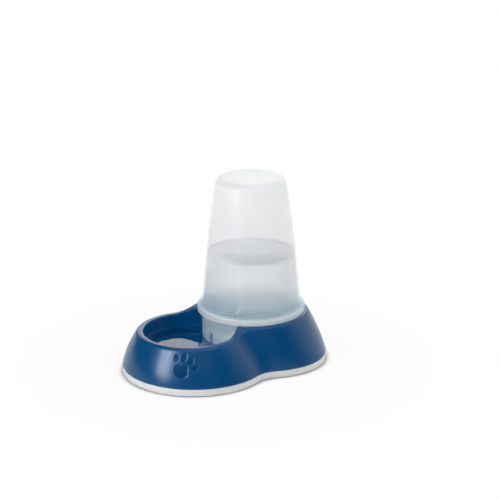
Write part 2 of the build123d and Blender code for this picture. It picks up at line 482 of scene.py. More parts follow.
def sink_paw(rows):
    """Sinks the paw print into rows of the skirt, and returns how deep each point lies in it."""
    base = bpy.context.scene.dispenser_base
    paw = bpy.context.scene.dispenser_paw
    x = rows[..., 0] - base.bowl_x
    y = rows[..., 1]
    radius = np.hypot(x, y)
    turn = np.mod(np.arctan2(y, x), 2 * pi) - paw.angle
    across = turn * radius
    inside = -paw_distance(across, rows[..., 2] - paw.height)
    far_side = np.abs(turn) >= radians(30.0)
    inside = np.where(far_side, -1.0, inside)
    sunk = smooth(-paw.edge * 0.35, paw.edge * 0.65, inside)
    drop = sunk * paw.depth
    rows[..., 0] -= x / radius * drop
    rows[..., 1] -= y / radius * drop
    return sunk


def skirt_shares():
    """Shares of the skirt's height for its rows, close together where the paw print is."""
    low, high = 0.26, 0.965
    below = np.linspace(0, low, 6, endpoint=False)
    return np.concatenate([below, np.linspace(low, high, 66), [1.0]])


def shell_side(inset, foot, shares, sink=False):
    """Rows of one side of the base moulding, from the foot up, over the rim and down the bowl.

    Returns the points with two values for each: how deep it lies in the print, and whether it
    is on the polished inside of the bowl.
    """
    base = bpy.context.scene.dispenser_base
    fine = np.linspace(0.0, 1.0, 90)

    def skirt_at(height):
        return skirt_outline(height, inset)

    def basin_at(height):
        return basin_outline(height, inset)

    outer_top = top_edge(skirt_at, inset)
    inner_top = top_edge(basin_at, inset)
    floor = base.floor_height - inset
    flank = [raised(skirt_at(z), z) for z in [between(foot, outer_top, t) for t in fine]]
    start, stop = skirt_at(outer_top), basin_at(inner_top)
    top = []
    for share in fine:
        plan = between(start, stop, share)
        top.append(raised(plan, top_height(plan[:, 0]) - inset))
    wall = [raised(basin_at(z), z) for z in [between(inner_top, floor, t) for t in fine]]
    edge = basin_at(floor)
    ground = [raised(between(edge, spine(edge), t), floor) for t in fine]
    runs = [np.stack(part) for part in (flank, top, wall, ground)]
    rim = max(base.rim_round - inset, 0.6 * MM)
    rounds = [(rim, 9), (base.lip_round, 5), (base.floor_round + inset, 8)]
    rows = chain(runs, rounds, shares)
    sunk = [np.zeros(part.shape[:2]) for part in rows]
    if sink:
        sunk[0] = sink_paw(rows[0])
    top = 2  # the parts after it are inside the bowl
    gloss = [np.full(part.shape[:2], float(index > top)) for index, part in enumerate(rows)]
    return np.concatenate(rows), np.concatenate(sunk), np.concatenate(gloss)


def base_mesh():
    """The whole base moulding: both sides, joined by the tongue that stands in the ring."""
    base = bpy.context.scene.dispenser_base
    ring = bpy.context.scene.dispenser_ring
    foot = base.ring_height
    turn_in = base.foot_round
    top, wall, ground = (np.linspace(0, 1, count) for count in (9, 12, 9))
    outside = [skirt_shares(), top, wall, ground**0.8]
    inside = [np.linspace(0, 1, count) for count in (16, 4, 7, 5)]
    outer, sunk, gloss = shell_side(0.0, foot + turn_in, outside, sink=True)
    inner, _, _ = shell_side(base.wall, foot, inside)
    tongue_in = ring.outer_lip + ring.gap
    tongue = [
        raised(skirt_outline(foot, base.wall), foot - (foot - ring.sole - ring.gap) * share)
        for share in (0.5, 1.0)
    ]
    tongue.append(raised(skirt_outline(foot, tongue_in), ring.sole + ring.gap))
    tongue.append(raised(skirt_outline(foot, tongue_in), foot))
    tongue.append(raised(skirt_outline(foot, turn_in), foot))
    tongue.append(raised(skirt_outline(foot, turn_in * 0.3), foot + turn_in * 0.3))
    rows = np.concatenate([inner[::-1], np.stack(tongue), outer])
    blank = np.zeros((len(rows) - len(outer), rows.shape[1]))
    mesh = grid_mesh("base_shell_skin", rows)
    for name, values in (("sunk", sunk), ("gloss", gloss)):
        attribute = mesh.attributes.new(name, "FLOAT", "POINT")
        values = np.concatenate([blank, values]).astype(np.float32)
        attribute.data.foreach_set("value", values.ravel())
    return closed(mesh)


def water_mesh():
    """Water in the bowl and the socket, with the edge of its surface drawn up the wall.

    It reaches a little way into the moulding, so that no gap shows between the two.
    """
    base = bpy.context.scene.dispenser_base
    overlap = 0.4 * MM
    fine = np.linspace(0.0, 1.0, 60)
    level = base.water_level
    floor = base.floor_height - overlap
    edge = basin_outline(level, overlap)
    middle = spine(edge)
    creep = 1.3 * MM
    reach = 2.2 * MM
    surface = []
    for share in fine:
        plan = between(middle, edge, share)
        away = np.linalg.norm(edge - plan, axis=1)
        surface.append(raised(plan, level + creep * np.exp(-away / reach * 2.2)))
    heights = [between(level + creep, floor, share) for share in fine]
    wall = [raised(basin_outline(height, overlap), height) for height in heights]
    low = basin_outline(floor, overlap)
    ground = [raised(between(low, spine(low), t), floor) for t in fine]
    runs = [np.stack(surface), np.stack(wall), np.stack(ground)]
    rounds = [(0.25 * MM, 3), (base.floor_round, 6)]
    near_edge = 1 - (1 - np.linspace(0, 1, 22)) ** 2.6
    rows = chain(runs, rounds, [near_edge, np.linspace(0, 1, 8), np.linspace(0, 1, 8)])
    return closed(grid_mesh("bowl_water", np.concatenate(rows)))


# Node trees


class Nodes:
    """A node tree under construction, with a few short ways to add to it."""

    def __init__(self, tree):
        self.tree = tree

    def fill(self, node, values):
        """Links or sets the inputs of a node."""
        for key, value in values.items():
            if isinstance(value, bpy.types.NodeSocket):
                self.tree.links.new(value, node.inputs[key])
            else:
                node.inputs[key].default_value = value

    def node(self, kind, values=None, **settings):
        """Adds a node with its inputs and options."""
        made = self.tree.nodes.new(kind)
        for name, value in settings.items():
            setattr(made, name, value)
        self.fill(made, values or {})
        return made

    def output(self, kind, values=None, **settings):
        """Adds a node and returns its first output."""
        return self.node(kind, values, **settings).outputs[0]

    def maths(self, operation, *values):
        """Adds a Math node and returns its output."""
        return self.output("ShaderNodeMath", dict(enumerate(values)), operation=operation)


class Tree(Nodes):
    """A Geometry Nodes tree. Its inputs are the geometry and those that are named."""

    def __init__(self, name, **sockets):
        super().__init__(bpy.data.node_groups.new(name, "GeometryNodeTree"))
        add = self.tree.interface.new_socket
        for way in ("INPUT", "OUTPUT"):
            add("Geometry", in_out=way, socket_type="NodeSocketGeometry")
        self.keys = {}
        for key, kind in {**sockets, "Material": "Material"}.items():
            made = add(key.replace("_", " "), in_out="INPUT", socket_type="NodeSocket" + kind)
            self.keys[key] = made.identifier
        self.given = self.tree.nodes.new("NodeGroupInput").outputs

    def named(self, name):
        """Value that the points carry under a name."""
        return self.output("GeometryNodeInputNamedAttribute", {"Name": name}, data_type="FLOAT")

    def placed(self, geometry, x, y, z):
        """Geometry with its points moved to where x, y and z say."""
        where = self.output("ShaderNodeCombineXYZ", {0: x, 1: y, 2: z})
        return self.output("GeometryNodeSetPosition", {"Geometry": geometry, "Position": where})

    def finish(self, geometry):
        """Ends the tree: merged, realized and with its material."""
        values = {"Geometry": geometry, "Distance": 0.005 * MM}
        merged = self.output("GeometryNodeMergeByDistance", values)
        real = self.output("GeometryNodeRealizeInstances", {"Geometry": merged})
        values = {"Geometry": real, "Material": self.given["Material"]}
        self.node("NodeGroupOutput", {0: self.output("GeometryNodeSetMaterial", values)})
        return self


def linked(name, data):
    """New object of the scene."""
    made = bpy.data.objects.new(name, data)
    bpy.context.scene.collection.objects.link(made)
    return made


def evaluated(carrier):
    """Mesh that an object's modifiers make."""
    bpy.context.view_layer.update()
    found = carrier.evaluated_get(bpy.context.evaluated_depsgraph_get())
    return bpy.data.meshes.new_from_object(found)


def made_by_nodes(name, host, tree, **values):
    """Plain mesh that a tree makes from a host mesh, with the tree's inputs set by name."""
    carrier = linked(name + "_host", host)
    modifier = carrier.modifiers.new("Shape", "NODES")
    modifier.node_group = tree.tree
    for key, value in values.items():
        modifier[tree.keys[key]] = value
    mesh = evaluated(carrier)
    mesh.name = name
    carrier.modifiers.remove(modifier)
    bpy.data.objects.remove(carrier)
    return closed(mesh)


TANK_SEGMENTS = 288
WATER_SEGMENTS = 192
RIB_ROWS = 12


def turned_tree():
    """Tree that turns a profile about an upright axis and flattens what lies before a front line.

    The profile's points lie at (radius, 0, height), and their attribute front says how far
    forward the turned form may reach there.
    """
    inputs = {"Segments": "Int", "Axis_place": "Float", "Front_rounding": "Float"}
    tree = Tree("Turned form with a flat front", **inputs)
    profile = tree.given["Geometry"]
    segments = tree.given["Segments"]
    size = tree.node("GeometryNodeAttributeDomainSize", {"Geometry": profile}, component="MESH")
    around = tree.maths("ADD", segments, 1.0)
    values = {"Vertices X": size.outputs["Point Count"], "Vertices Y": around}
    grid = tree.output("GeometryNodeMeshGrid", values)
    index = tree.output("GeometryNodeInputIndex")
    row = tree.maths("FLOOR", tree.maths("DIVIDE", tree.maths("ADD", index, 0.5), around))
    column = tree.maths("SUBTRACT", index, tree.maths("MULTIPLY", row, around))
    turn = tree.maths("MULTIPLY", tree.maths("DIVIDE", column, segments), 2 * pi)

    def on_profile(value, kind):
        values = {"Geometry": profile, "Value": value, "Index": row}
        return tree.output("GeometryNodeSampleIndex", values, data_type=kind)

    place = on_profile(tree.output("GeometryNodeInputPosition"), "FLOAT_VECTOR")
    point = tree.node("ShaderNodeSeparateXYZ", {0: place}).outputs
    front = on_profile(tree.named("front"), "FLOAT")
    forward = tree.maths("MULTIPLY", point["X"], tree.maths("COSINE", turn))
    forward = tree.maths("ADD", forward, tree.given["Axis place"])
    flat = tree.maths("SMOOTH_MAX", forward, front, tree.given["Front rounding"])
    sideways = tree.maths("MULTIPLY", point["X"], tree.maths("SINE", turn))
    return tree.finish(tree.placed(grid, flat, sideways, point["Z"]))


def swept_tree():
    """Tree that sweeps a closed section along a closed path on the floor."""
    tree = Tree("Section swept along the footprint", Section="Object")
    path = tree.output("GeometryNodeMeshToCurve", {"Mesh": tree.given["Geometry"]})
    level = tree.output("GeometryNodeSetCurveNormal", {"Curve": path}, mode="Z_UP")
    section = tree.node("GeometryNodeObjectInfo", {"Object": tree.given["Section"]})
    line = tree.output("GeometryNodeMeshToCurve", {"Mesh": section.outputs["Geometry"]})
    values = {"Curve": level, "Profile Curve": line}
    return tree.finish(tree.output("GeometryNodeCurveToMesh", values))


def rib_tree():
    """Tree that stands an upright rib on each point, between the basin and the skirt.

    A point's attributes say where its rib is: the axis it belongs to, its turn round that axis,
    its near end, its far end at the foot, halfway up and at the top, and its top's height.
    """
    tree = Tree("Ribs under the base", Thickness="Float", Foot_height="Float", Rows="Int")

    def part_way(first, last, share):
        gap = tree.maths("SUBTRACT", last, first)
        return tree.maths("MULTIPLY_ADD", gap, share, first)

    values = {"Size": (1, 1, 1), "Vertices Z": tree.given["Rows"]}
    block = tree.output("GeometryNodeMeshCube", values)
    values = {"Points": tree.given["Geometry"], "Instance": block}
    ribs = tree.output("GeometryNodeInstanceOnPoints", values)
    real = tree.output("GeometryNodeRealizeInstances", {"Geometry": ribs})
    place = tree.output("GeometryNodeInputPosition")
    own = tree.node("ShaderNodeSeparateXYZ", {0: place}).outputs
    outward = tree.maths("ADD", own["X"], 0.5)
    upward = tree.maths("ADD", own["Z"], 0.5)
    aside = tree.maths("MULTIPLY", own["Y"], tree.given["Thickness"])
    straight = part_way(tree.named("foot_reach"), tree.named("top_reach"), 0.5)
    swell = tree.maths("SUBTRACT", tree.named("middle_reach"), straight)
    bow = tree.maths("MULTIPLY", upward, tree.maths("SUBTRACT", 1.0, upward))
    far = part_way(tree.named("foot_reach"), tree.named("top_reach"), upward)
    far = tree.maths("MULTIPLY_ADD", swell, tree.maths("MULTIPLY", bow, 4.0), far)
    out = part_way(tree.named("near"), far, outward)
    cosine, sine = (tree.maths(way, tree.named("turn")) for way in ("COSINE", "SINE"))
    x = tree.maths("MULTIPLY_ADD", out, cosine, tree.named("axis"))
    x = tree.maths("SUBTRACT", x, tree.maths("MULTIPLY", aside, sine))
    y = tree.maths("MULTIPLY_ADD", out, sine, tree.maths("MULTIPLY", aside, cosine))
    z = part_way(tree.given["Foot height"], tree.named("top"), upward)
    return tree.finish(tree.placed(real, x, y, z))


def rib_reach(axis, turn, height, inset):
    """Distance from an axis to the skirt's outline at a height, in the direction of a turn."""
    bowl_at, bowl_r, tank_at, tank_r, end_r, _ = skirt_shape(height, inset)
    centre, wide, long = tank_at, tank_r, end_r
    if axis == bpy.context.scene.dispenser_base.bowl_x:
        centre, wide, long = bowl_at, bowl_r, bowl_r
    offset = axis - centre
    a = (cos(turn) / long) ** 2 + (sin(turn) / wide) ** 2
    b = 2 * offset * cos(turn) / long**2
    c = (offset / long) ** 2 - 1
    return (-b + (b * b - 4 * a * c) ** 0.5) / (2 * a)


def rib_points():
    """Points for the ribs, whose ends reach a little way into the moulding."""
    base = bpy.context.scene.dispenser_base
    inset = base.wall - 1.0 * MM
    bowl_top = base.rim_height - base.wall
    tank_top = base.seat_height - base.wall
    ribs = [(base.bowl_x, base.bowl_radius, bowl_top, turn) for turn in range(110, 251, 35)]
    ribs += [(base.tank_x, base.socket_radius, tank_top, turn) for turn in range(-72, 73, 36)]
    rows = []
    for axis, radius, top, degrees in ribs:
        turn = radians(degrees)
        heights = (base.rib_foot, (base.rib_foot + top) / 2, top)
        reach = [rib_reach(axis, turn, height, inset) for height in heights]
        rows.append((axis, turn, radius + inset, *reach, top))
    names = ("axis", "turn", "near", "foot_reach", "middle_reach", "top_reach", "top")
    mesh = bpy.data.meshes.new("rib_points")
    mesh.from_pydata([(0, 0, 0)] * len(rows), [], [])
    for name, values in zip(names, zip(*rows)):
        mesh.attributes.new(name, "FLOAT", "POINT").data.foreach_set("value", values)
    return mesh


def line_mesh(name, points, loop=False, **attributes):
    """Mesh that is a single line through points, with named values on them."""
    points = np.asarray(points, float)
    count = len(points)
    edges = [(i, (i + 1) % count) for i in range(count if loop else count - 1)]
    mesh = bpy.data.meshes.new(name)
    mesh.from_pydata(points, edges, [])
    for key, values in attributes.items():
        made = mesh.attributes.new(key, "FLOAT", "POINT")
        made.data.foreach_set("value", np.asarray(values, np.float32))
    return mesh


def rounded_path(corners):
    """Flat line through (x, z, reach) corners, each rounded over its reach, as (x, z) points."""
    places = [np.array(corner[:2], float) for corner in corners]
    made = [places[0]]
    for before, here, after, corner in zip(places, places[1:], places[2:], corners[1:]):
        reach = corner[2]
        if reach == 0.0:
            made.append(here)
            continue
        start = here + (before - here) / np.linalg.norm(before - here) * reach
        stop = here + (after - here) / np.linalg.norm(after - here) * reach
        made += [start, *rounded(start[None], here[None], stop[None], 7)[:, 0], stop]
    made.append(places[-1])
    return np.array(made)


def spaced(line, step):
    """A flat line with points added so that none of its steps is longer than a step."""
    made = [line[0]]
    for before, after in zip(line[:-1], line[1:]):
        count = max(1, int(np.ceil(np.linalg.norm(after - before) / step)))
        made += [between(before, after, share) for share in np.arange(1, count + 1) / count]
    return np.array(made)


def wall_line(inset):
    """The tank's wall from its foot to the top's edge: an arc through three points."""
    tank = bpy.context.scene.dispenser_reservoir
    points = np.array([
        (tank.sleeve_radius, tank.foot_height),
        (tank.middle_radius, tank.middle_height),
        (tank.top_radius, tank.height),
    ])
    centre = np.linalg.solve(
        2 * (points[1:] - points[0]), np.sum(points[1:] ** 2 - points[0] ** 2, axis=1)
    )
    turns = np.arctan2(points[:, 1] - centre[1], points[:, 0] - centre[0])
    radius = np.linalg.norm(points[0] - centre)
    turns = np.linspace(turns[0], turns[2], 90)
    line = centre + radius * np.column_stack([np.cos(turns), np.sin(turns)])
    line[:, 0] -= inset
    return line[line[:, 1] < tank.height - inset - 1e-6]


NO_LIMIT = -1.0  # metres, far in front of the reservoir


def front_limit(heights, inset):
    """How far forward the reservoir reaches at each height: ledge, flat face and arch."""
    tank = bpy.context.scene.dispenser_reservoir
    axis = bpy.context.scene.dispenser_base.tank_x
    lip_top = bpy.context.scene.dispenser_base.seat_height + tank.lip_height
    low = np.array([axis - tank.lip_radius, lip_top + tank.ledge_step])
    foot = np.array([tank.front_x, tank.ledge_height])
    top = np.array([tank.front_x + tank.front_lean, tank.front_top])
    slope = (foot - low) / np.linalg.norm(foot - low)
    rise = (top - foot) / np.linalg.norm(top - foot)
    forward = np.array([-rise[1], rise[0]])
    centre = top + forward * tank.arch_radius
    turns = np.radians(np.linspace(0, 60, 60))[:, None]
    arch = centre + (rise * np.sin(turns) - forward * np.cos(turns)) * (tank.arch_radius + inset)
    normal = np.array([slope[1], -slope[0]])
    foot = foot + (slope - rise) * inset / abs(slope[0] * rise[1] - slope[1] * rise[0])
    low = low + normal * inset
    reach = 7.0 * MM
    start = foot - slope * reach
    stop = foot + rise * reach
    bend = rounded(start[None], foot[None], stop[None], 16)[:, 0]
    beyond = low - slope * 0.2  # metres, down past the lip
    line = np.concatenate([[beyond], [start], bend, [stop], arch])
    limit = np.interp(heights, line[:, 1], line[:, 0], left=NO_LIMIT, right=NO_LIMIT)
    return np.where(heights > lip_top - inset + 0.2 * MM, limit, NO_LIMIT)


def top_cap(inset):
    """The wall's last stretch, the rounded top edge and the flat top, as (radius, height)."""
    tank = bpy.context.scene.dispenser_reservoir
    wall = wall_line(inset)
    top = tank.height - inset
    last = wall[-1]
    reach = (tank.top_round - inset) * 0.9  # the corner is more open than a right angle
    kept = wall[wall[:, 1] < top - reach]
    cap = rounded_path([kept[-1], (last[0], top, reach), (0.0, top)])
    return np.concatenate([kept[:-1], cap])


def reservoir_profile():
    """Profile of the reservoir, from the top's middle outside down and up again inside."""
    tank = bpy.context.scene.dispenser_reservoir
    seat = bpy.context.scene.dispenser_base.seat_height
    lip_top = seat + tank.lip_height
    lip_inner = tank.lip_radius - tank.wall
    bottom = tank.sleeve_bottom
    outer = top_cap(0.0)[::-1]
    sleeve_inner = tank.sleeve_radius - tank.wall
    corners = [
        outer[-1],
        (tank.lip_radius, lip_top, 1.0 * MM),
        (tank.lip_radius, seat, 0.5 * MM),
        (lip_inner, seat, 0.5 * MM),
        (lip_inner, lip_top - tank.wall, 0.8 * MM),
        (tank.sleeve_radius, lip_top - tank.wall / 2, 0.6 * MM),
        (tank.sleeve_radius, bottom, 0.6 * MM),
        (sleeve_inner, bottom, 0.6 * MM),
        (sleeve_inner, tank.foot_height),
    ]
    lower = rounded_path(corners)
    lip = 9  # points up to the end of the lip's top corner
    outside = spaced(np.concatenate([outer[:-1], lower[:lip]]), 1.0 * MM)
    lower = spaced(lower[lip - 1 :], 4.0 * MM)
    inner = spaced(top_cap(tank.wall), 3.0 * MM)
    outside = outside[(outside[:, 0] > 1e-9) | (np.arange(len(outside)) == 0)]
    return outside, lower, inner


def tank_water_profile(inset):
    """Profile of the water in the tank, with the edge of its surface drawn up the wall."""
    tank = bpy.context.scene.dispenser_reservoir
    wall = wall_line(inset)
    level = tank.water_level
    radius = float(np.interp(level, wall[:, 1], wall[:, 0]))
    low = bpy.context.scene.dispenser_base.water_level + 2 * MM
    creep = 1.2 * MM
    away = np.linspace(0, 1, 26) ** 2.4 * radius
    surface = np.column_stack([radius - away, level + creep * np.exp(-away / MM)])[::-1]
    side = wall[wall[:, 1] < level][::-1]
    rest = np.array([(tank.sleeve_radius - inset, low), (0.0, low)])
    return spaced(np.concatenate([surface, side, rest]), 3 * MM)


def ring_section():
    """Section of the ring, with its groove, as a line that starts and ends on the floor."""
    base = bpy.context.scene.dispenser_base
    ring = bpy.context.scene.dispenser_ring
    top = base.ring_height - ring.gap
    groove = base.wall + ring.gap
    start = (2 * MM, 0.0)
    corners = [
        start,
        (0.0, 0.0, ring.edge_round),
        (0.0, top, ring.top_round),
        (ring.outer_lip, top, ring.groove_round),
        (ring.outer_lip, ring.sole, 0.0),
        (groove, ring.sole, 0.0),
        (groove, ring.inner_height, 0.0),
        (ring.width, ring.inner_height, ring.inner_round),
        (ring.width, 0.0, ring.edge_round),
        start,
    ]
    line = rounded_path(corners)[:-1]
    return line_mesh("ring_section", [(-x, -z, 0) for x, z in line], True)


def profile_mesh(name, parts):
    """Line mesh of a profile, with the front limit that each part's inset asks for."""
    points = np.concatenate([line for line, _ in parts])
    front = np.concatenate([front_limit(line[:, 1], inset) for line, inset in parts])
    return line_mesh(name, [(r, 0.0, z) for r, z in points], front=front)


def turned(name, parts, segments, material):
    """Mesh of a profile that is turned about the socket's axis and has the flat front."""
    scene = bpy.context.scene
    host = profile_mesh(name + "_profile", parts)
    values = {"Segments": segments, "Axis_place": scene.dispenser_base.tank_x}
    values |= {"Front_rounding": scene.dispenser_reservoir.front_round, "Material": material}
    return made_by_nodes(name, host, turned_tree(), **values)


def cut_port(mesh):
    """Cuts the port through the front of the sleeve, with a round top."""
    tank = bpy.context.scene.dispenser_reservoir
    axis = bpy.context.scene.dispenser_base.tank_x
    half = tank.port_width / 2
    spring = tank.port_top - half
    turns = np.linspace(0, pi, 17)
    below = tank.sleeve_bottom - 5 * MM
    arch = [(half * cos(turn), spring + half * sin(turn)) for turn in turns]
    outline = [(half, below), *arch, (-half, below)]
    shape = bmesh.new()
    near = axis - tank.sleeve_radius - 4 * MM
    face = shape.faces.new([shape.verts.new((near, y, z)) for y, z in outline])
    swept = bmesh.ops.extrude_face_region(shape, geom=[face])
    moved = [item for item in swept["geom"] if isinstance(item, bmesh.types.BMVert)]
    bmesh.ops.translate(shape, vec=(10 * MM, 0, 0), verts=moved)
    bmesh.ops.recalc_face_normals(shape, faces=shape.faces)
    cutter_mesh = bpy.data.meshes.new("port_cutter")
    shape.to_mesh(cutter_mesh)
    shape.free()
    carrier = linked("port_carrier", mesh)
    cutter = linked("port_cutter", cutter_mesh)
    cut = carrier.modifiers.new("Port", "BOOLEAN")
    cut.operation = "DIFFERENCE"
    cut.solver = "EXACT"
    cut.object = cutter
    done = evaluated(carrier)
    bpy.data.objects.remove(carrier)
    bpy.data.objects.remove(cutter)
    return closed(done)


# Materials


class Finish(Nodes):
    """A procedural material under construction."""

    def __init__(self, name):
        self.material = bpy.data.materials.new(name)
        self.material.use_nodes = True
        super().__init__(self.material.node_tree)
        self.shader = self.tree.nodes["Principled BSDF"]
        self.place = self.node("ShaderNodeTexCoord").outputs["Object"]

    def height(self):
        """Height above the floor."""
        return self.node("ShaderNodeSeparateXYZ", {0: self.place}).outputs["Z"]

    def noise(self, scale, detail=3.0, stretch=(1, 1, 1)):
        """Noise on object coordinates, with its scale counted in waves for each metre."""
        spread = self.output("ShaderNodeMapping", {"Vector": self.place, "Scale": stretch})
        values = {"Vector": spread, "Scale": scale, "Detail": detail}
        return self.node("ShaderNodeTexNoise", values).outputs["Fac"]

    def ranged(self, value, low, high, start=0.0, stop=1.0):
        """Value moved from one range into another."""
        values = {"Value": value, "From Min": start, "From Max": stop}
        return self.output("ShaderNodeMapRange", values | {"To Min": low, "To Max": high})

    def mixed(self, factor, first, second):
        """Mix of two colours or sockets."""
        values = {"Factor": factor, 6: first, 7: second}
        return self.node("ShaderNodeMix", values, data_type="RGBA").outputs[2]

    def attribute(self, name):
        """Value that the mesh carries under a name."""
        return self.node("ShaderNodeAttribute", attribute_name=name).outputs["Fac"]

    def bump(self, height, distance, strength=1.0, after=None):
        """Bump from a height, and returns its normal."""
        values = {"Height": height, "Distance": distance, "Strength": strength}
        if after is not None:
            values["Normal"] = after
        return self.output("ShaderNodeBump", values)

    def graded(self, value, stops):
        """Colour and alpha of a ramp whose stops are (place, (red, green, blue, alpha))."""
        made = self.node("ShaderNodeValToRGB", {"Fac": value})
        elements = made.color_ramp.elements
        elements[0].position, elements[0].color = stops[0]
        elements[1].position, elements[1].color = stops[-1]
        for place, values in stops[1:-1]:
            elements.new(place).color = values
        return made.outputs["Color"], made.outputs["Alpha"]

    def let_lamps_through(self, share):
        """Lets a share of the lamps' light straight through the surface."""
        shadow = self.node("ShaderNodeLightPath").outputs["Is Shadow Ray"]
        clear = self.output("ShaderNodeBsdfTransparent")
        self.mix_in(self.maths("MULTIPLY", shadow, share), clear)

    def mix_in(self, share, other):
        """Mixes a share of another shader into what the surface shows."""
        values = {0: share, 1: self.shader.outputs[0], 2: other}
        both = self.output("ShaderNodeMixShader", values)
        self.fill(self.tree.nodes["Material Output"], {"Surface": both})

    def set(self, **values):
        """Sets or links the shader's inputs, named with underscores for spaces."""
        self.fill(self.shader, {key.replace("_", " "): value for key, value in values.items()})


def shade(base, factor):
    """A colour made lighter or darker, as four values."""
    return tuple(min(1.0, channel * factor) for channel in base) + (1.0,)


def blue_plastic():
    """Blue moulded plastic: satin outside with a fine texture, polished inside the bowl, with
    painted shade in the sunk paw print.
    """
    finishes = bpy.context.scene.dispenser_finishes
    finish = Finish("blue_moulded_plastic")
    gloss = finish.attribute("gloss")
    sunk = finish.attribute("sunk")
    cloud = finish.noise(28.0, 4.0)
    grain = finish.noise(1900.0, 2.0)
    flow = finish.noise(90.0, 3.0, (1.0, 1.0, 0.25))
    colour_now = finish.mixed(cloud, shade(finishes.blue, 0.94), shade(finishes.blue, 1.06))
    # Painted shade: the sunk paw print is painted a fifth darker than the blue around it.
    colour_now = finish.mixed(sunk, colour_now, shade(finishes.blue, 0.8))
    rough = finish.ranged(flow, 0.225, 0.262)  # the denoiser mottles it where it passes 0.27
    rough = finish.maths("SUBTRACT", rough, finish.maths("MULTIPLY", gloss, 0.06))
    depth = finish.maths("MULTIPLY", grain, finish.ranged(gloss, 1.0, 0.12))
    normal = finish.bump(depth, 0.00003, 0.6)
    normal = finish.bump(flow, 0.00008, 0.25, normal)
    finish.set(Base_Color=colour_now, Roughness=rough, Normal=normal, IOR=1.49)
    finish.set(Specular_IOR_Level=finish.ranged(sunk, 0.4, 0.1))  # the print is duller
    return finish.material


def soft_white():
    """White soft elastomer: matt, with a very fine grain."""
    finishes = bpy.context.scene.dispenser_finishes
    finish = Finish("white_soft_elastomer")
    cloud = finish.noise(60.0, 4.0)
    grain = finish.noise(1400.0, 3.0)
    colour_now = finish.mixed(cloud, shade(finishes.white, 0.97), shade(finishes.white, 1.02))
    finish.set(Base_Color=colour_now, Roughness=finish.ranged(grain, 0.42, 0.55))
    finish.set(Normal=finish.bump(grain, 0.00004, 0.5), IOR=1.5, Specular_IOR_Level=0.4)
    return finish.material


# What the reservoir's wall does to light at heights in millimetres: its tint, and as alpha the
# share that it stops. The blue in the tint is painted light: the glow of the blue base below,
# painted into the wall's colour, strongest at the sleeve and over the shoulder. Where a wall stops
# less than a quarter, the denoiser takes it for glass, and the change would show as a line, so no
# alpha here is that low.
FROST_HAZE_AND_PAINTED_LIGHT = (
    (65.0, (0.74, 0.89, 1.0, 0.34)),  # sleeve
    (69.0, (0.94, 0.98, 1.0, 0.42)),  # lip
    (74.5, (0.94, 0.98, 1.0, 0.42)),
    (78.0, (0.62, 0.86, 1.0, 0.28)),  # shoulder and ledge, close over the base
    (90.0, (0.79, 0.92, 1.0, 0.345)),
    (110.0, (0.97, 0.985, 1.0, 0.37)),  # tank, below its waterline
    (145.0, (1.0, 1.0, 1.0, 0.30)),
    (170.0, (1.0, 1.0, 1.0, 0.28)),
)
FROST_TOP = 250.0 * MM


def frosted_plastic():
    """Frosted see-through plastic: lets light through and spreads it, with the blue glow of the
    base painted into its colour low down.
    """
    finishes = bpy.context.scene.dispenser_finishes
    finish = Finish("frosted_plastic")
    cloud = finish.noise(22.0, 4.0, (1.0, 1.0, 0.4))
    grain = finish.noise(1300.0, 3.0)
    height = finish.height()
    share = finish.ranged(height, 0.0, 1.0, 0.0, FROST_TOP)
    # Painted light: the ramp's colour paints the blue glow of the base into the wall by height;
    # its alpha is the wall's haze.
    tint_with_painted_light, haze = finish.graded(share, [(z * MM / FROST_TOP, band) for z, band in FROST_HAZE_AND_PAINTED_LIGHT])
    plain = finish.mixed(cloud, shade(finishes.frost, 0.985), shade(finishes.frost, 1.01))
    # The plain frost is multiplied by that painted blue light.
    frost_with_painted_base_light = finish.node(
        "ShaderNodeMix",
        {"Factor": 1.0, 6: plain, 7: tint_with_painted_light},
        data_type="RGBA",
        blend_type="MULTIPLY",
    )
    dull = finish.ranged(height, 0.14, 0.235, 80 * MM, 120 * MM)
    rough = finish.maths("ADD", dull, finish.ranged(cloud, 0.0, 0.03))
    finish.set(Base_Color=frost_with_painted_base_light.outputs[2], Roughness=rough, IOR=1.49)
    facing = finish.node("ShaderNodeLayerWeight", {"Blend": 0.5}).outputs["Facing"]
    facing = finish.maths("POWER", facing, 2.0)
    inner = finish.node("ShaderNodeNewGeometry").outputs["Backfacing"]
    edge = finish.maths("MULTIPLY", facing, finish.ranged(inner, 0.3, 0.0))
    finish.set(Alpha=finish.maths("ADD", haze, edge))
    finish.let_lamps_through(0.9)
    finish.set(Normal=finish.bump(grain, 0.00004, 0.35), Specular_IOR_Level=0.5)
    return finish.material


def clear_water(name, level, surface, below):
    """Clear water with a hardly moving surface, whose alpha differs between surface and sides, and
    whose surface is painted darker as painted shade.
    """
    finishes = bpy.context.scene.dispenser_finishes
    finish = Finish(name)
    ripple = finish.noise(45.0, 2.0)
    tint_with_painted_light = finish.mixed(ripple, shade(finishes.water, 0.99), shade(finishes.water, 1.01))
    top = finish.ranged(finish.height(), 0.0, 1.0, level - 2 * MM, level - 1 * MM)
    # Painted shade: the surface and its film up the wall are painted a fifth darker than the water
    # below.
    tint_with_painted_light = finish.mixed(top, tint_with_painted_light, shade(finishes.water, 0.8))
    alpha = finish.ranged(top, below, surface)
    finish.set(Base_Color=tint_with_painted_light, Transmission_Weight=1.0, IOR=1.333, Alpha=alpha)
    finish.let_lamps_through(0.95)
    finish.set(Roughness=finish.ranged(ripple, 0.0, 0.02))
    finish.set(Normal=finish.bump(ripple, 0.0004, 0.15))
    return finish.material


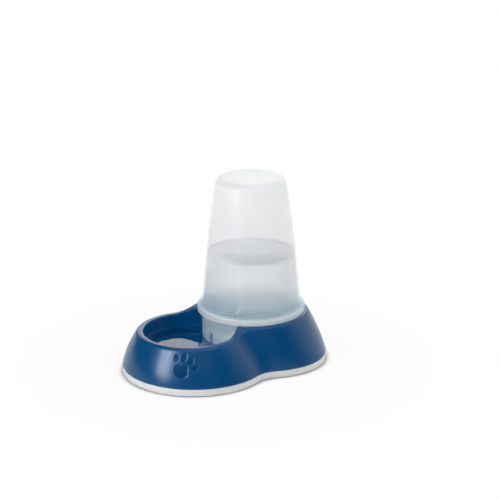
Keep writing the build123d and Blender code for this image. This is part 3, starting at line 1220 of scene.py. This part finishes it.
def studio_floor():
    """Pale floor that keeps the object's shadow, has a contact shadow painted into its colour
    close under the foot, and runs out to white.
    """
    finishes = bpy.context.scene.dispenser_finishes
    finish = Finish("studio_floor")
    mottle = finish.noise(6.0, 3.0)
    shelter = finish.node("ShaderNodeAmbientOcclusion", {"Distance": 10 * MM}, samples=8)
    open_sky = shelter.outputs["AO"]
    clean = finish.mixed(mottle, shade(finishes.floor, 0.995), shade(finishes.floor, 1.0))
    # Painted shadow: the floor's colour darkens to 0.6 of itself where the foot shelters it.
    painted_contact_shadow = finish.ranged(open_sky, 0.0, 1.0, 0.5, 0.75)
    near = finish.mixed(painted_contact_shadow, shade(finishes.floor, 0.6), clean)
    finish.set(Base_Color=near, Roughness=0.9, Specular_IOR_Level=0.0)
    glow = finish.output("ShaderNodeEmission", {"Color": (1, 1, 1, 1), "Strength": 1.0})
    path = finish.node("ShaderNodeLightPath").outputs
    seen = finish.maths("MAXIMUM", path["Is Camera Ray"], path["Is Transmission Ray"])
    seen = finish.maths("MAXIMUM", seen, path["Is Glossy Ray"])
    away = finish.node("ShaderNodeVectorMath", {0: finish.place}, operation="LENGTH")
    far = finish.ranged(away.outputs["Value"], 0.92, 1.0, 0.15, 0.32)
    clear = finish.maths("MULTIPLY", far, finish.ranged(open_sky, 0.0, 1.0, 0.5, 0.9))
    finish.mix_in(finish.maths("MULTIPLY", seen, clear), glow)
    return finish.material


# Operators, one for each piece or group of like pieces


class BuildBaseShell(bpy.types.Operator):
    """Blue base moulding with bowl, socket, skirt, paw print and the ribs below"""

    bl_idname = "dispenser.base_shell"
    bl_label = "Base shell"

    def execute(self, context):
        blue = blue_plastic()
        piece("base_shell_skin", base_mesh(), "base", "base_plastic", blue, "base_shell")
        base = context.scene.dispenser_base
        values = {"Thickness": base.rib_width, "Foot_height": base.rib_foot, "Rows": RIB_ROWS}
        ribs = made_by_nodes("base_ribs", rib_points(), rib_tree(), Material=blue, **values)
        piece("base_ribs", ribs, "base", "base_plastic", blue)
        return {"FINISHED"}


class BuildRing(bpy.types.Operator):
    """White non-slip ring round the foot of the base"""

    bl_idname = "dispenser.anti_slip_ring"
    bl_label = "Non-slip ring"

    def execute(self, context):
        section = linked("ring_section", ring_section())
        path = skirt_outline(context.scene.dispenser_base.ring_height)
        host = line_mesh("ring_path", [(x, y, 0.0) for x, y in path], True)
        white = soft_white()
        values = {"Section": section, "Material": white}
        mesh = made_by_nodes("anti_slip_ring_skin", host, swept_tree(), **values)
        bpy.data.objects.remove(section)
        piece("anti_slip_ring_skin", mesh, "base", "soft_ring", white, "anti_slip_ring")
        return {"FINISHED"}


class BuildReservoir(bpy.types.Operator):
    """Frosted reservoir with a flat front, a lip and a sleeve with its port"""

    bl_idname = "dispenser.reservoir"
    bl_label = "Reservoir"

    def execute(self, context):
        wall = context.scene.dispenser_reservoir.wall
        outside, lower, inner = reservoir_profile()
        parts = [(outside, 0.0), (lower[1:], 0.0), (inner[1:], wall)]
        frost = frosted_plastic()
        mesh = cut_port(turned("reservoir_skin", parts, TANK_SEGMENTS, frost))
        piece("reservoir_skin", mesh, "reservoir", "frosted_plastic", frost, "reservoir")
        return {"FINISHED"}


class BuildWater(bpy.types.Operator):
    """Water in the bowl and in the reservoir"""

    bl_idname = "dispenser.water"
    bl_label = "Water"

    def execute(self, context):
        tank = context.scene.dispenser_reservoir
        level = context.scene.dispenser_base.water_level
        clear = clear_water("bowl_water", level, surface=1.0, below=0.9)
        piece("bowl_water", water_mesh(), "base", "water", clear)
        inset = tank.wall + 0.12 * MM
        clear = clear_water("tank_water", tank.water_level, surface=0.95, below=0.3)
        parts = [(tank_water_profile(inset), inset)]
        mesh = turned("tank_water", parts, WATER_SEGMENTS, clear)
        piece("tank_water", mesh, "reservoir", "water", clear)
        return {"FINISHED"}


# Studio. A turn goes round the upright axis from the -Y side, and a rise goes up from the floor.

FLOOR_REACH = 6.0
CAMERA_TURN = radians(-35.0)
CAMERA_RISE = radians(21.933)
CAMERA_DISTANCE = 2.5
CAMERA_PITCH = radians(3.463)  # pitch and yaw put the object where it is in the photograph
CAMERA_YAW = radians(0.829)
CAMERA_LENS = 131.9
WORLD_TURN = radians(112.0)  # the side of the surroundings that is bright
LAMP_TARGET = Vector((0, 0, 0.1))
UP = Vector((0, 0, 1))

# Name, turn and rise in degrees, distance and size in metres, power in watts, and whether the
# lamp lights the colours or only shows in the gloss.
LAMPS = (
    ("side", -88, 26, 1.3, (0.5, 0.75), 8.4, "colour"),
    ("strip", -86, 25, 1.3, (0.46, 0.95), 15, "gloss"),
    ("fade", -70, 25, 1.3, (0.5, 0.85), 1.4, "gloss"),
    ("front", -20, 38, 2.2, (1.6, 1.6), 12, "colour"),
    ("right", 55, 30, 1.8, (1.0, 1.2), 7.8, "colour"),
    ("top", -20, 86, 1.5, (1.3, 1.3), 1.2, "colour"),
    ("top_shine", -20, 80, 1.5, (1.5, 1.3), 6, "gloss"),
    ("back", 145, 22, 1.6, (1.6, 0.45), 3.2, "gloss"),
)


def heading(turn, rise):
    """Direction from the object towards a turn and a rise."""
    return Vector((sin(turn) * cos(rise), -cos(turn) * cos(rise), sin(rise)))


def camera():
    """Camera at the photograph's viewing angle."""
    made = linked("camera", bpy.data.cameras.new("camera"))
    direction = heading(CAMERA_TURN, CAMERA_RISE)
    forward = -direction
    right = forward.cross(UP).normalized()
    up = right.cross(forward)
    forward = forward * cos(CAMERA_PITCH) + up * sin(CAMERA_PITCH)
    forward = forward * cos(CAMERA_YAW) + right * sin(CAMERA_YAW)
    right = forward.cross(UP).normalized()
    up = right.cross(forward)
    turn = Matrix((right, up, -forward)).transposed().to_4x4()
    made.matrix_world = Matrix.Translation(direction * CAMERA_DISTANCE) @ turn
    made.data.lens = CAMERA_LENS
    made.data.sensor_width = 36.0
    made.data.clip_end = 100.0
    bpy.context.scene.camera = made


def softbox(name, turn, rise, distance, size, power, part):
    """Rectangular soft lamp that faces the object and isn't seen itself."""
    lamp = bpy.data.lights.new(name, "AREA")
    lamp.shape = "RECTANGLE"
    lamp.size, lamp.size_y = size
    lamp.energy = power
    made = linked(name, lamp)
    back = heading(radians(turn), radians(rise))
    facing = back.to_track_quat("Z", "Y").to_matrix().to_4x4()
    made.matrix_world = Matrix.Translation(LAMP_TARGET + back * distance) @ facing
    made.visible_camera = False
    made.visible_transmission = False
    made.visible_glossy = part == "gloss"
    made.visible_diffuse = part == "colour"


def studio_world():
    """White surroundings, which are bright from one side only to the light and the gloss."""
    world = bpy.data.worlds.new("studio")
    bpy.context.scene.world = world
    world.use_nodes = True
    nodes = Nodes(world.node_tree)
    path = nodes.node("ShaderNodeLightPath").outputs
    place = nodes.node("ShaderNodeTexCoord").outputs["Generated"]
    values = {0: place, 1: heading(WORLD_TURN, 0.0)}
    towards = nodes.node("ShaderNodeVectorMath", values, operation="DOT_PRODUCT").outputs["Value"]

    def sweep(values):
        values = {"Value": towards, **values}
        return nodes.output("ShaderNodeMapRange", values, interpolation_type="SMOOTHSTEP")

    lighting = sweep({"From Max": 0.6, "To Min": 0.03, "To Max": 0.5})
    mirrored = sweep({"From Max": 0.9, "To Max": path["Is Glossy Ray"]})
    seen = nodes.maths("MAXIMUM", path["Is Camera Ray"], path["Is Transmission Ray"])
    level = nodes.maths("MAXIMUM", nodes.maths("MAXIMUM", seen, mirrored), lighting)
    nodes.fill(nodes.tree.nodes["Background"], {"Color": (1, 1, 1, 1), "Strength": level})


class BuildStage(bpy.types.Operator):
    """Pale studio floor, soft lamps and the camera"""

    bl_idname = "dispenser.stage"
    bl_label = "Studio"

    def execute(self, context):
        mesh = bpy.data.meshes.new("floor")
        corners = [(-1, -1), (1, -1), (1, 1), (-1, 1)]
        corners = [(x * FLOOR_REACH, y * FLOOR_REACH, 0) for x, y in corners]
        mesh.from_pydata(corners, [], [(0, 1, 2, 3)])
        mesh.materials.append(studio_floor())
        floor = linked("floor", mesh)
        studio_world()
        for lamp in LAMPS:
            softbox(*lamp)
        camera()
        context.scene.view_settings.view_transform = "Standard"
        return {"FINISHED"}


class DispenserPanel(bpy.types.Panel):
    """Lists the operators that build the dispenser"""

    bl_idname = "VIEW3D_PT_dispenser"
    bl_label = "Dispenser"
    bl_space_type = "VIEW_3D"
    bl_region_type = "UI"
    bl_category = "Dispenser"

    def draw(self, context):
        for operator in OPERATORS:
            self.layout.operator(operator.bl_idname)


GROUPS = {
    "dispenser_base": BaseSizes,
    "dispenser_ring": RingSizes,
    "dispenser_paw": PawSizes,
    "dispenser_reservoir": ReservoirSizes,
    "dispenser_finishes": Finishes,
}
OPERATORS = (BuildStage, BuildBaseShell, BuildRing, BuildReservoir, BuildWater)


def register():
    """Registers the classes and hangs the sizes on the scene."""
    for name, group in GROUPS.items():
        bpy.utils.register_class(group)
        setattr(bpy.types.Scene, name, bpy.props.PointerProperty(type=group))
    for operator in OPERATORS:
        bpy.utils.register_class(operator)
    bpy.utils.register_class(DispenserPanel)


def unregister():
    """Takes all of it away again."""
    bpy.utils.unregister_class(DispenserPanel)
    for operator in reversed(OPERATORS):
        bpy.utils.unregister_class(operator)
    for name, group in GROUPS.items():
        delattr(bpy.types.Scene, name)
        bpy.utils.unregister_class(group)


def main():
    """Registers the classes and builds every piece."""
    register()
    for operator in OPERATORS:
        group, name = operator.bl_idname.split(".")
        getattr(getattr(bpy.ops, group), name)()


if __name__ == "__main__":
    main()
